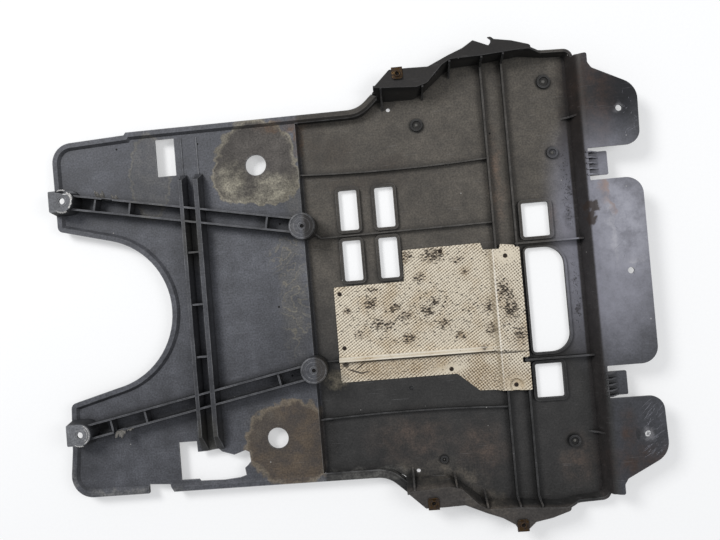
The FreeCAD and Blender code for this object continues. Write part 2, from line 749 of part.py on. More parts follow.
def spring_nut(x, edge, way):
    """U-shaped clip folded over the edge of a lug, with a threaded collar on top."""
    low = flange_top - sheet - nut_sheet
    high = flange_top + nut_sheet
    bend = edge + way * (nut_slack + nut_sheet)
    inner_bend = edge + way * nut_slack
    back = edge - way * nut_reach
    turn = nut_slack + nut_sheet
    outer = [(back, low, 0), (bend, low, turn), (bend, high, turn), (back, high, 0)]
    inner = [(back - way, low + nut_sheet, 0), (inner_bend, low + nut_sheet, nut_slack),
             (inner_bend, high - nut_sheet, nut_slack), (back - way, high - nut_sheet, 0)]
    start = x - nut_width / 2
    along = FreeCAD.Vector(nut_width, 0, 0)
    clip = Part.Face(outline(outer, start, cross)).extrude(along)
    clip = clip.cut(Part.Face(outline(inner, start, cross)).extrude(along))
    middle = edge - way * nut_reach / 2
    thread = post(x, middle, nut_collar_dia, high - nut_sheet / 2, high + nut_collar_rise)
    return clip.fuse(thread).cut(nut_bore(x, edge, way, nut_hole)).removeSplitter()


def main():
    os.makedirs("parts", exist_ok=True)
    nodes = {
        "undertray": undertray(),
        "heat_shield": heat_shield(),
        "shield_rivets": Part.makeCompound([rivet(*place) for place in rivet_places()]),
        "spring_nuts": Part.makeCompound([spring_nut(*place) for place in nut_places()]),
    }
    box = FreeCAD.BoundBox()
    for shape in nodes.values():
        box.add(shape.BoundBox)
    shift = FreeCAD.Vector(-box.Center.x, -box.Center.y, -box.ZMin)
    for name, shape in nodes.items():
        shape.translate(shift)
        shape.exportStep("parts/" + name + ".step")
        print(name, "solids", len(shape.Solids), "valid", shape.isValid(), "volume", round(shape.Volume))
    print("datum at", round(shift.x, 3), round(shift.y, 3), "size", box.XLength, box.YLength, box.ZLength)


if __name__ == "__main__":
    main()
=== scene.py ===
import json
import math

import bmesh
import bpy
import numpy as np
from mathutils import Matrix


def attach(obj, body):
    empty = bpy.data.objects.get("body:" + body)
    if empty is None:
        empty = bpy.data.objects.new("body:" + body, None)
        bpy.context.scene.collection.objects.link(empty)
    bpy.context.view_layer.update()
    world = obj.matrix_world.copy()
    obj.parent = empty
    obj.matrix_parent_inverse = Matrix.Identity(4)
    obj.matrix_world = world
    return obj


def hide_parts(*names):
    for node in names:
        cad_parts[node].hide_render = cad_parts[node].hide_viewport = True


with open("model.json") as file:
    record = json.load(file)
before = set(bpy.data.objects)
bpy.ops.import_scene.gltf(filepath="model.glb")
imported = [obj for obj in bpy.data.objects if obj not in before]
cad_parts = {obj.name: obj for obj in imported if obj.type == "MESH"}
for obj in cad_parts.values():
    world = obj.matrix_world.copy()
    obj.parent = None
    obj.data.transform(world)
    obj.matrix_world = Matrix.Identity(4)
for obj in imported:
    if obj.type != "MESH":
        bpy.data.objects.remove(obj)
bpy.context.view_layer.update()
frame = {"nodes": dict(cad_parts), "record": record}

bl_info = {
    "name": "Engine Undertray Finishes",
    "version": (1, 0, 0),
    "blender": (4, 5, 0),
    "location": "View3D > Sidebar > Undertray",
    "description": "Dresses a torn undertray: worn plastic, burnt heat shield, rivets, spring nuts, tears",
    "category": "Object",
}

MM = 0.001

# The drawing's datum in the frame, found from the rear pads, whose holes lie 425 mm behind it
REAR_PAD_X = -425.0
PLACES = {mount["name"]: mount["pos_m"] for mount in frame["record"]["mounts"]}
DATUM = (PLACES["rear_pad_bolts"][0] / MM - REAR_PAD_X, PLACES["rear_pad_bolts"][1] / MM)

# Heights above the underside of the pan, in millimetres
PAN = 3.0
DECK = 15.0
ARM = 35.0
FLANGE = 36.0
ROUND_PAD = 38.0
REAR_PAD = 42.0
SHIELD = 3.8
SHIELD_STEP = 13.8

# Rivets on the shield as x, y and the height that the head sits on
RIVETS = ((-30.5, 1.0, SHIELD), (-30.0, -80.0, SHIELD), (124.0, 52.0, SHIELD), (126.0, -123.0, SHIELD),
          (217.0, 37.4, SHIELD_STEP), (217.6, -152.0, SHIELD_STEP - 4.0))

# Spring nuts as x, the edge that the clip is pushed over, and the side of the tray
NUTS = ((82.0, 318.9, 1.0), (82.0, -314.1, -1.0), (205.5, -352.6, -1.0))
NUT_REACH = 15.0

# Pin holes left by the mould as x, y, height and radius
PIN_HOLES = ((212.0, 220.0, PAN, 1.5), (-109.5, 113.0, DECK, 1.6), (-109.5, -113.0, DECK, 1.6),
             (-348.0, 247.0, DECK, 1.5), (-224.0, 243.5, DECK, 1.7), (-121.0, -10.0, DECK, 1.6))

# Floor bosses as x, y, height of the dish floor and radius of the dish
BOSSES = ((105.0, 242.0, 5.0, 6.5), (296.0, 288.0, 5.0, 7.0), (300.0, 182.5, 5.0, 5.5),
          (295.0, -240.0, 7.0, 6.0), (104.0, -255.0, 4.0, 3.0))
BOSS_LIP = 4.5

# Round and rear pads as x, y and height, and the radius and bead of each ring on them
ROUND_PADS = ((-74.0, 105.0), (-74.0, -105.0))
REAR_PADS = ((REAR_PAD_X, 172.5), (REAR_PAD_X, -172.5))
PAD_RINGS = tuple((x, y, ROUND_PAD, radius, bead) for x, y in ROUND_PADS
                  for radius, bead in ((17.4, 1.0), (12.0, 0.5), (5.4, 0.8)))
PAD_RINGS += tuple((x, y, REAR_PAD, 7.6, 0.7) for x, y in REAR_PADS)

# Burnt patches on the shield as x, y and their two radii, and the share of them that is burnt through
BURNS = ((15, -18, 13, 11), (25, -48, 12, 10), (38, -50, 12, 9), (50, -25, 12, 10), (65, -38, 12, 10),
         (68, -72, 14, 10), (98, -33, 14, 12), (110, -22, 10, 9), (122, -55, 12, 11), (143, -75, 11, 9),
         (190, -68, 13, 14), (188, -35, 12, 12), (211, -12, 16, 22), (219, -38, 15, 26), (231, -80, 15, 20),
         (112, 47, 20, 15), (148, 37, 11, 8), (74, 50, 10, 12), (158, 20, 10, 8), (90, 16, 12, 10),
         (-5, -62, 10, 9), (176, -95, 10, 6), (20, 4, 12, 6), (-22, -25, 8, 9))
BURN_SHARE = 0.62

# Torn flaps on the arm ribs as x, y, length, rise, side and bend in radians
FLAPS = ((-376.0, 173.6, 14.0, 17.0, 1.0, 1.9), (-352.0, 168.8, 9.0, 12.0, 1.0, 2.4),
         (-374.0, -173.0, 15.0, 17.0, -1.0, 2.2), (-356.0, -169.4, 10.0, 8.0, -1.0, 1.2))

# Broken rims, stress whitened and partly a painted highlight of the pads' lit sides, as pad, inner and outer
# radius, start and end angle, and height over the pad at each radius
RIMS = ((REAR_PADS[0], 13.2, 16.4, -48.0, 58.0, 0.3, -0.4),
        (REAR_PADS[0], 14.8, 18.6, 8.0, 40.0, 0.2, 1.6),
        (REAR_PADS[0], 15.4, 17.6, 68.0, 112.0, 0.2, 0.9),
        (REAR_PADS[0], 16.2, 18.4, 236.0, 292.0, 0.1, -2.5),
        (REAR_PADS[1], 13.6, 15.2, -62.0, 64.0, 0.3, 0.2),
        (REAR_PADS[1], 10.8, 11.8, -55.0, 50.0, 0.3, 0.3),
        (REAR_PADS[1], 16.0, 18.0, 240.0, 285.0, 0.1, -2.0))

# Scratches as area, count, span in x, span in y, lean and its spread in degrees, and usual length
SCRATCHES = (("right_tongue", 60, (388, 412), (-258, -186), 40, 12, 16),
             ("centre_tongue", 34, (356, 408), (-96, 92), 80, 25, 14),
             ("left_tongue", 16, (396, 414), (196, 258), 70, 25, 9),
             ("starburst", 22, (388, 393), (-233, -227), 0, 90, 7))
TONGUE_END = 414

# Soft boxes as place, width, depth and power; the one on the right gives the front tongues their sheen
SOFT_BOXES = (("soft_key", (-1.6, 1.5, 2.1), 1.0, 1.0, 58.0),
              ("soft_right", (1.28, 0.12, 1.5), 0.9, 0.7, 9.0))
STUDIO_LIGHT = 0.42
STUDIO_TINT = (0.92, 0.95, 1.0, 1.0)
BACKDROP_GLOW = 0.38

# The camera hangs over the tray, leaning a few degrees; place from the datum, and focal length in pixels
CAMERA_PLACE = (52.07, 20.29, 948.49)
CAMERA_TURN = (0.6116, 3.0278, -4.8564)
SENSOR_WIDTH = 36.0
FOCAL_PIXELS = 633
FRAME_PIXELS = 720

# Reach of corner dirt and of edge wear, and the rays that look for them
CORNER_REACH = 9.0
EDGE_REACH = 1.3
FEELERS = 6

# Farther than any patch, in radii or in height; direction of the shield's embossed lines
FAR = 1000.0
EMBOSS_LEAN = math.radians(-34)


def linear(code):
    """An sRGB hex colour as linear red, green, blue and alpha."""
    parts = [int(code[i:i + 2], 16) / 255 for i in (0, 2, 4)]
    return [c / 12.92 if c <= 0.04045 else ((c + 0.055) / 1.055) ** 2.4 for c in parts] + [1.0]


class UndertrayLooks(bpy.types.PropertyGroup):
    """Sizes and colours that change how the undertray looks."""
    deck_colour: bpy.props.FloatVectorProperty(
        name="Deck", description="Plastic of the rear deck", subtype="COLOR", size=3,
        default=linear("515257")[:3])
    pan_colour: bpy.props.FloatVectorProperty(
        name="Pan", description="Plastic of the pan under its road dust", subtype="COLOR", size=3,
        default=linear("4d4841")[:3])
    tongue_colour: bpy.props.FloatVectorProperty(
        name="Tongues", description="Plastic of the front tongues", subtype="COLOR", size=3,
        default=linear("333439")[:3])
    shield_colour: bpy.props.FloatVectorProperty(
        name="Shield", description="Aluminium of the heat shield", subtype="COLOR", size=3,
        default=linear("d9ceb9")[:3])
    emboss_pitch: bpy.props.FloatProperty(
        name="Emboss pitch", description="Spacing of the shield's embossed lines", unit="LENGTH",
        default=3.7 * MM)
    rivet_head: bpy.props.FloatProperty(
        name="Rivet head", description="Diameter of a rivet head", unit="LENGTH", default=6.6 * MM)
    nut_width: bpy.props.FloatProperty(
        name="Nut width", description="Width of a spring nut", unit="LENGTH", default=16.0 * MM)
    scratch_width: bpy.props.FloatProperty(
        name="Scratch width", description="Width of a scratch on the tongues", unit="LENGTH",
        default=0.5 * MM)


def add(tree, kind, inputs=(), out=0, **settings):
    """One node with its settings and its inputs as values or links; the result is its output socket."""
    node = tree.nodes.new(kind)
    for name, value in settings.items():
        setattr(node, name, value)
    pairs = inputs.items() if isinstance(inputs, dict) else enumerate(inputs)
    for key, value in pairs:
        if isinstance(value, bpy.types.NodeSocket):
            tree.links.new(value, node.inputs[key])
        else:
            node.inputs[key].default_value = value
    return node.outputs[out] if len(node.outputs) else None


def start_material(name):
    """An empty material, its tree, and the drawing's coordinates in millimetres from the datum."""
    material = bpy.data.materials.new(name)
    material.use_nodes = True
    tree = material.node_tree
    tree.nodes.clear()
    place = add(tree, "ShaderNodeTexCoord", out="Object")
    drawing = add(tree, "ShaderNodeMapping", {0: place, 1: (-DATUM[0], -DATUM[1], 0), 3: (1 / MM,) * 3})
    return material, tree, drawing


def nearness(tree, place, rows):
    """Distance in radii from the nearest of some elliptical patches, each as x, y, two radii and a turn.
    About 70 patches are the most that the renderer holds in one colour; with more it turns black."""
    nearest = FAR
    for x, y, rx, ry, *turn in rows:
        lean = math.radians(turn[0] if turn else 0)
        local = add(tree, "ShaderNodeMapping", {0: place, 1: (x, y, 0), 2: (0, 0, lean), 3: (rx, ry, FAR)},
                    vector_type="TEXTURE")
        away = add(tree, "ShaderNodeVectorMath", [local], out="Value", operation="LENGTH")
        nearest = add(tree, "ShaderNodeMath", [away, nearest], operation="MINIMUM")
    return nearest


def patches(tree, place, rows, soft):
    """Mask of elliptical patches: their nearness, eased from inside to outside."""
    return add(tree, "ShaderNodeMapRange", [nearness(tree, place, rows), 1 + soft, 1 - soft, 0.0, 1.0],
               interpolation_type="SMOOTHSTEP")


def layered(tree, base, rows):
    """Colours laid over a base in order, each as strongly as given, where all its masks are high."""
    colour = base
    for code, strength, *masks in rows:
        cover = strength
        for mask in masks:
            cover = add(tree, "ShaderNodeMath", [mask, cover], operation="MULTIPLY")
        colour = add(tree, "ShaderNodeMix", {0: cover, 6: colour, 7: linear(code)}, out=2, data_type="RGBA")
    return colour


def shaded(tree, colour, factors):
    """A colour made darker or lighter by each factor in turn."""
    for factor in factors:
        colour = add(tree, "ShaderNodeMix", {0: 1.0, 6: colour, 7: factor}, out=2, data_type="RGBA",
                     blend_type="MULTIPLY")
    return colour


def road_dirt_and_painted_shade(tree, drawing, ragged, crust, deck, smear, edges):
    """Rows of dirt for the tray, and one of painted shade: tan tide marks round the two access holes, dried
    water lines at the step, brown stains on the pan, the front wall and the tongues, dust and chafing along
    the right side, and painted shade over the upper left of the deck."""
    edges = (*edges, nearness(tree, ragged, ((-300, 200, 30, 64),)))
    left, right, slot = [add(tree, "ShaderNodeMapRange", [edge, 1.04, 0.97, 0.0, 1.0]) for edge in edges]
    left_mark, right_mark, slot_mark = [add(tree, "ShaderNodeMapRange", [edge, 0.88, 0.97, 0.0, 1.0])
                                        for edge in edges]

    # Dried water leaves thin wavy lines, the levels of a 40 mm noise
    wave = add(tree, "ShaderNodeTexNoise", {"Vector": drawing, "Scale": 1 / 40, "Detail": 3.0})
    wave = add(tree, "ShaderNodeMath", [wave, 52.0], operation="MULTIPLY")
    wave = add(tree, "ShaderNodeMath", [wave], operation="SINE")
    tide = add(tree, "ShaderNodeMapRange", [wave, 0.72, 0.98, 0.0, 1.0])
    wet = patches(tree, ragged, ((-96, 5, 20, 92), (-108, 62, 22, 26)), 0.4)
    damp = patches(tree, ragged, ((-98, 5, 18, 88), (-86, 150, 14, 40)), 0.5)
    glow = patches(tree, ragged, ((-118, 166, 36, 20), (-176, 184, 20, 26), (-150, 150, 26, 12)), 0.5)
    uneven = add(tree, "ShaderNodeMapRange", [smear, 0.34, 0.56, 0.6, 1.0])
    washed = patches(tree, ragged, ((-152, -190, 26, 34, 30),), 0.6)
    corner = patches(tree, ragged, ((-46, -128, 18, 14),), 0.3)
    reddish = patches(tree, ragged, ((-95, 257, 34, 9), (-72, 235, 6, 24)), 0.5)
    green = patches(tree, drawing, ((-238, -190, 17, 30), (-238, 100, 12, 40)), 0.5)
    blots = patches(tree, ragged, ((20, 168, 62, 16), (-20, 215, 26, 20), (60, 190, 24, 12),
                                   (-50, 240, 14, 40)), 0.7)
    brown = patches(tree, ragged, ((291, 88, 7, 15), (216, 150, 8, 60), (314, 60, 10, 14)), 0.7)
    faint = patches(tree, ragged, ((160, -243, 30, 34, 40), (300, -270, 22, 30), (60, -220, 50, 30)), 0.8)
    sooty = patches(tree, ragged, ((334, 250, 18, 80), (322, 170, 10, 60)), 0.6)
    brown_tongue = patches(tree, ragged, ((358, 262, 26, 52), (362, 210, 15, 30), (382, -268, 42, 24),
                                          (365, -235, 12, 40)), 0.5)
    pressed = patches(tree, drawing, ((376, -229, 3.4, 8.0),), 0.12)
    dusty = patches(tree, ragged, ((60, -270, 34, 10, -25), (118, -276, 40, 14, -22),
                                   (160, -314, 34, 12, -25)), 0.7)
    chafed = patches(tree, ragged, ((-452, -246, 5, 22), (-370, -268, 76, 4), (-20, -268, 60, 7)), 0.6)
    # Painted shade over the upper left of the deck, where the key lamp falls strongest
    dim = patches(tree, drawing, ((-330, 190, 115, 80),), 0.7)
    return (("3f4045", 0.4, dim, deck), ("4b443a", 0.66, left, deck),
            ("868173", 0.95, left, deck, glow, crust), ("878173", 0.7, left, left_mark, deck),
            ("52473b", 0.95, right, deck, uneven), ("4a4845", 0.6, washed, deck, crust),
            ("7d7364", 0.6, right, right_mark, deck), ("605d56", 0.35, slot, deck, crust),
            ("757063", 0.35, slot, slot_mark, deck), ("5f5a4c", 0.4, damp, crust),
            ("7d7665", 0.4, wet, tide, deck), ("857c6a", 0.7, corner, crust),
            ("54402f", 0.8, reddish, crust), ("48432f", 0.45, green),
            ("2c231b", 0.75, blots, smear), ("694f3d", 0.38, brown, crust),
            ("5d4a3d", 0.32, faint, crust), ("211a17", 0.8, sooty), ("33241c", 0.9, brown_tongue, crust),
            ("1b1b1e", 0.8, pressed), ("6f6659", 0.35, dusty, crust), ("86847f", 0.5, chafed, crust))


def polypropylene(looks):
    """Injection-moulded black polypropylene: a dull sheen over fine grain, bluish where bare, brown with
    road dust, dark on its ribs, with painted shade in its corners and on steep faces, a painted sheen on the
    front, and pale along its edges, partly rubbed and partly a painted highlight."""
    material, tree, drawing = start_material("black polypropylene, injection moulded and weathered")
    x, y, z = add(tree, "ShaderNodeSeparateXYZ", [drawing]).node.outputs
    normal = add(tree, "ShaderNodeNewGeometry", out="Normal")
    turned = add(tree, "ShaderNodeSeparateXYZ", [normal]).node.outputs

    # Noise of real sizes: stains of 90 mm, smears of 20 mm, specks of 2.5 mm, lobes of dried dirt of 13 mm
    stain, smear, speck = [
        add(tree, "ShaderNodeTexNoise",
            {"Vector": drawing, "Scale": 1 / size, "Detail": detail, "Roughness": rough})
        for size, detail, rough in ((90, 5.0, 0.6), (20, 8.0, 0.65), (2.5, 3.0, 0.6))]
    push = add(tree, "ShaderNodeTexNoise", {"Vector": drawing, "Scale": 1 / 13, "Detail": 4.0}, out="Color")
    centred = add(tree, "ShaderNodeVectorMath", [push, (0.5, 0.5, 0.5)], operation="SUBTRACT")
    ragged = add(tree, "ShaderNodeVectorMath", [centred, (24.0, 24.0, 0.0), drawing],
                 operation="MULTIPLY_ADD")
    crust = add(tree, "ShaderNodeMapRange", [smear, 0.36, 0.64, 0.1, 1.0])
    grit = add(tree, "ShaderNodeTexVoronoi", {"Vector": drawing, "Scale": 1 / 34}, out="Distance")

    # Regions of the tray by place and height
    deck = add(tree, "ShaderNodeMapRange", [x, -68.0, -76.0, 0.0, 1.0], interpolation_type="SMOOTHSTEP")
    pan = add(tree, "ShaderNodeMath", [1.0, deck], operation="SUBTRACT")
    right_side = add(tree, "ShaderNodeMapRange", [y, 90.0, -150.0, 0.0, 1.0],
                     interpolation_type="SMOOTHSTEP")
    front = add(tree, "ShaderNodeMapRange", [x, 272.0, 318.0, 0.0, 1.0], interpolation_type="SMOOTHSTEP")
    behind = add(tree, "ShaderNodeMapRange", [x, 322.0, 312.0, 0.0, 1.0])
    tongue = add(tree, "ShaderNodeMapRange", [x, 338.0, 350.0, 0.0, 1.0], interpolation_type="SMOOTHSTEP")
    painted_sheen = patches(tree, drawing, ((352, 48, 75, 134),), 0.55)
    wall = patches(tree, drawing, ((331.5, 0, 7.2, 900),), 0.2)
    black_tongue = patches(tree, ragged, ((390, 262, 40, 46),), 0.6)
    edges = [nearness(tree, ragged, rows) for rows in (
        ((-138, 212, 60, 60), (-160, 192, 46, 46), (-120, 180, 46, 38)), ((-118, -212, 69, 63),))]
    cavity_shade = patches(tree, drawing, ((-402, 169, 9, 11), (-400, -168, 7, 9), (65.2, -147, 3.4, 3.4)), 0.35)
    high = add(tree, "ShaderNodeMapRange", [z, 22.0, 30.0, 0.0, 1.0])
    low = add(tree, "ShaderNodeMapRange", [z, 30.0, 20.0, 0.0, 1.0])
    risen = add(tree, "ShaderNodeMapRange", [z, 4.6, 6.4, 0.0, 1.0])
    pad_top = add(tree, "ShaderNodeMapRange", [z, 40.0, 41.5, 0.0, 1.0])
    flat_top = add(tree, "ShaderNodeMapRange", [z, 36.4, 37.4, 1.0, 0.25])

    # The pan is darker towards the right side, partly its own tone and partly painted shade; its high walls
    # get painted shade, with a lighter painted lit tone on the right, where they face the light
    colour = layered(tree, list(looks.pan_colour) + [1.0],
                     (("2b2a29", 1.0, right_side), ("1a1715", 1.0, high, pan, behind),
                      ("3b3734", 0.9, high, pan, behind, right_side)))
    colour = add(tree, "ShaderNodeMix", {0: tongue, 6: colour, 7: list(looks.tongue_colour) + [1.0]}, out=2,
                 data_type="RGBA")
    colour = add(tree, "ShaderNodeMix", {0: deck, 6: colour, 7: list(looks.deck_colour) + [1.0]}, out=2,
                 data_type="RGBA")
    # Painted sheen on the band and tongues; painted shade on the front wall, in the cavities beside the rear
    # pads and in one hole; the deck is darker towards the right side, partly its own tone and partly painted
    # shade
    colour = layered(tree, colour,
                     (("5a5a61", 0.8, front, painted_sheen), ("2d2928", 0.9, wall),
                      ("46474c", 0.9, deck, right_side), ("76777a", 0.8, pad_top, deck),
                      ("080808", 0.92, cavity_shade), ("0d0d12", 0.9, black_tongue, tongue)))
    colour = layered(tree, colour, road_dirt_and_painted_shade(tree, drawing, ragged, crust, deck, smear, edges))

    # Painted shade darkens the corners, by their ambient occlusion, and the steep faces
    corner = add(tree, "ShaderNodeAmbientOcclusion", {"Distance": CORNER_REACH * MM}, out="AO",
                 samples=FEELERS)
    corner = add(tree, "ShaderNodeMapRange", [corner, 0.5, 0.95, 0.5, 1.0])
    steep = add(tree, "ShaderNodeMapRange", [turned[2], 0.95, 0.45, 1.0, 0.46])

    # The front wall and the walls of the right ears that face the light are steep but stay pale
    ahead = add(tree, "ShaderNodeMapRange", [behind, 0.0, 1.0, 0.8, 0.0])
    steep = add(tree, "ShaderNodeMath", [steep, ahead], operation="MAXIMUM")
    outer = add(tree, "ShaderNodeMapRange", [y, -225.0, -242.0, 0.0, 1.25])
    facing = add(tree, "ShaderNodeMapRange", [turned[1], 0.3, 0.8, 0.0, 1.0])
    facing = add(tree, "ShaderNodeMath", [facing, outer], operation="MULTIPLY")
    steep = add(tree, "ShaderNodeMath", [steep, facing], operation="MAXIMUM")

    # Painted shade darkens walls that face right, away from the light, and window frames and thin pan ribs,
    # for their shaded sides; deck rib tops and boss dishes are darker, and noise mottles it all
    shade_facing_away = add(tree, "ShaderNodeMapRange", [turned[1], -0.3, -0.8, 1.0, 0.55])
    rib_and_frame_shade = add(tree, "ShaderNodeMath", [risen, pan], operation="MULTIPLY")
    rib_and_frame_shade = add(tree, "ShaderNodeMath", [rib_and_frame_shade, behind], operation="MULTIPLY")
    rib_and_frame_shade = add(tree, "ShaderNodeMath", [rib_and_frame_shade, low], operation="MULTIPLY")
    rib_and_frame_shade = add(tree, "ShaderNodeMapRange", [rib_and_frame_shade, 0.0, 1.0, 1.0, 0.6])
    ribs = add(tree, "ShaderNodeMath", [high, deck], operation="MULTIPLY")
    ribs = add(tree, "ShaderNodeMath", [ribs, flat_top], operation="MULTIPLY")
    ribs = add(tree, "ShaderNodeMapRange", [ribs, 0.0, 1.0, 1.0, 0.62])
    dishes = [(bx, by, radius + BOSS_LIP, radius + BOSS_LIP) for bx, by, _, radius in BOSSES]
    dishes = patches(tree, drawing, dishes, 0.2)
    dishes = add(tree, "ShaderNodeMapRange", [dishes, 0.0, 1.0, 1.0, 0.22])
    mottle = add(tree, "ShaderNodeMapRange", [stain, 0.3, 0.7, 0.74, 1.26])
    patchy = add(tree, "ShaderNodeMapRange", [smear, 0.3, 0.7, 0.72, 1.28])
    fine = add(tree, "ShaderNodeMapRange", [speck, 0.3, 0.7, 0.66, 1.34])
    colour = shaded(tree, colour, (corner, steep, shade_facing_away, rib_and_frame_shade, ribs, dishes, mottle, patchy, fine))

    # A painted sheen lightens the band and the centre tongue, with a painted highlight on the centre tongue;
    # over it lie soot, pits of 2 mm, a drip and rust
    flat = add(tree, "ShaderNodeMapRange", [turned[2], 0.3, 0.6, 0.0, 1.0])
    pits = add(tree, "ShaderNodeMapRange", [speck, 0.56, 0.62, 0.0, 1.0])
    pitted = patches(tree, ragged, ((317, 132, 7, 60), (317, -30, 5, 60)), 0.6)
    veil = add(tree, "ShaderNodeMapRange", [smear, 0.32, 0.68, 0.66, 1.1])
    painted_highlight = patches(tree, ragged, ((392, 78, 42, 56),), 0.8)
    drip = patches(tree, ragged, ((343, 97, 10, 9), (340, 82, 6, 10)), 0.25)
    bare = add(tree, "ShaderNodeMath", [1.0, wall], operation="SUBTRACT")
    orange = patches(tree, ragged, ((361, 117, 19, 6.5, -78), (368, 95, 12, 4, -72)), 0.5)
    rubbed = patches(tree, ragged, ((366, 66, 4, 44, 4), (396, 15, 10, 3), (390.5, 233, 5.5, 5.5),
                                    (389, -230, 7, 7)), 0.7)
    sooted = add(tree, "ShaderNodeMapRange", [smear, 0.5, 0.6, 0.0, 1.0])
    colour = layered(tree, colour,
                     (("85858f", 0.88, front, painted_sheen, flat, bare, veil),
                      ("b6b6bf", 0.4, painted_highlight, tongue, painted_sheen, crust), ("1c1918", 0.8, pits, pitted),
                      ("1d1816", 0.7, pitted, sooted), ("2c211b", 0.93, drip),
                      ("8a6a54", 0.75, orange, crust), ("bcbabd", 0.32, rubbed, crust)))

    # Edges are pale, partly rubbed and partly a painted highlight; loose grit shows as pale dots of about 1
    # mm, and drag marks as slim streaks
    slim = (1 / 45, 1 / 1.3, 1 / 20)
    drag = [add(tree, "ShaderNodeMapping", {0: drawing, 2: (0, 0, math.radians(lean)), 3: slim})
            for lean in (28.0, -62.0)]
    drag = [add(tree, "ShaderNodeTexNoise", {"Vector": way, "Scale": 1.0, "Detail": 2.0}) for way in drag]
    drag = add(tree, "ShaderNodeMath", drag, operation="MAXIMUM")
    drag = add(tree, "ShaderNodeMapRange", [drag, 0.68, 0.76, 0.0, 1.0])
    edge = add(tree, "ShaderNodeAmbientOcclusion", {"Distance": EDGE_REACH * MM}, out="AO", samples=FEELERS,
               inside=True)
    edge = add(tree, "ShaderNodeMapRange", [edge, 0.92, 0.6, 0.0, 1.0])
    worn = add(tree, "ShaderNodeMapRange", [deck, 0.0, 1.0, 0.4, 1.0])
    dots = add(tree, "ShaderNodeMapRange", [grit, 0.034, 0.02, 0.0, 1.0])
    colour = layered(tree, colour, (("88888a", 0.3, drag, crust), ("949496", 0.6, edge, crust, worn),
                                    ("a8a6a2", 0.75, dots)))

    # Dried dirt is dull and bare plastic has a sheen; the mould's 0.7 mm grain is drawn at 1.4 mm to show
    dull = add(tree, "ShaderNodeMath", edges, operation="MINIMUM")
    dull = add(tree, "ShaderNodeMapRange", [dull, 1.05, 0.95, 0.0, 1.0])
    rough = add(tree, "ShaderNodeMapRange", [smear, 0.3, 0.7, 0.6, 0.74])
    rough = add(tree, "ShaderNodeMix", {0: tongue, 2: rough, 3: 0.46}, out=0)
    rough = add(tree, "ShaderNodeMix", {0: black_tongue, 2: rough, 3: 0.75}, out=0)
    rough = add(tree, "ShaderNodeMix", {0: dull, 2: rough, 3: 0.88}, out=0)
    grain = add(tree, "ShaderNodeTexNoise", {"Vector": drawing, "Scale": 1 / 1.4, "Detail": 2.0})
    lumps = add(tree, "ShaderNodeMath", [dull, crust], operation="MULTIPLY")
    height = add(tree, "ShaderNodeMath", [lumps, 2.5, grain], operation="MULTIPLY_ADD")
    bump = add(tree, "ShaderNodeBump", {"Strength": 0.4, "Distance": 0.3 * MM, "Height": height})
    shader = add(tree, "ShaderNodeBsdfPrincipled",
                 {"Base Color": colour, "Roughness": rough, "Normal": bump, "IOR": 1.49})
    add(tree, "ShaderNodeOutputMaterial", [shader])
    return material


